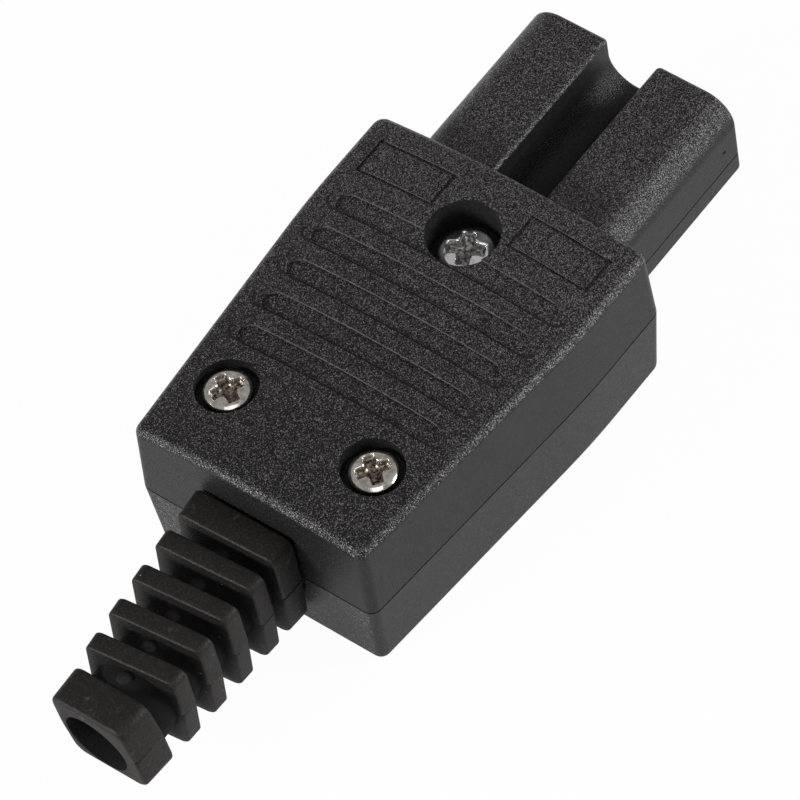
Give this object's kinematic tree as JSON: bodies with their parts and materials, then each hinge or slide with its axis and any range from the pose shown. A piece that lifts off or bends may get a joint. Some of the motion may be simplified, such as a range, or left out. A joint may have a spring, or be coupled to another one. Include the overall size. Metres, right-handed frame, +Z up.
{
  "type": "rewirable appliance cord connector",
  "caption": "Rewirable cord connector: two black moulded shells with a keyed flat nose, screw wells, grip grooves and a ribbed rubber cord boot.",
  "frame": {"origin": "middle of the footprint of the whole part, on the flat bottom of the lower shell", "axes": "+X along the part from the cord boot to the nose tip, +Z up from the bottom face to the grooved top face, +Y to the left seen from above with the nose ahead"},
  "size_m": [0.0864, 0.0324, 0.0193],
  "materials": {
    "shell_plastic": "fine spark-eroded grain",
    "boot_rubber": "smooth moulded rubber",
    "screw_steel": "bright nickel plate",
    "nut_steel": "zinc plate",
    "contact_copper_alloy": "stamped and bent strip",
    "terminal_brass": "machined",
    "clamp_plastic": "moulded"
  },
  "bodies": {
    "root": {"upper_shell": "shell_plastic", "lower_shell": "shell_plastic", "cord_boot": "boot_rubber", "shell_screw_front": "screw_steel", "shell_screw_left": "screw_steel", "shell_screw_right": "screw_steel", "nut_front": "nut_steel", "nut_left": "nut_steel", "nut_right": "nut_steel", "contact_line": "contact_copper_alloy", "contact_neutral": "contact_copper_alloy", "contact_earth": "contact_copper_alloy", "terminal_line": "terminal_brass", "terminal_neutral": "terminal_brass", "terminal_earth": "terminal_brass", "terminal_screw_line": "screw_steel", "terminal_screw_neutral": "screw_steel", "terminal_screw_earth": "screw_steel", "cord_clamp": "clamp_plastic", "clamp_screw_left": "screw_steel", "clamp_screw_right": "screw_steel"}
  },
  "joints": []
}
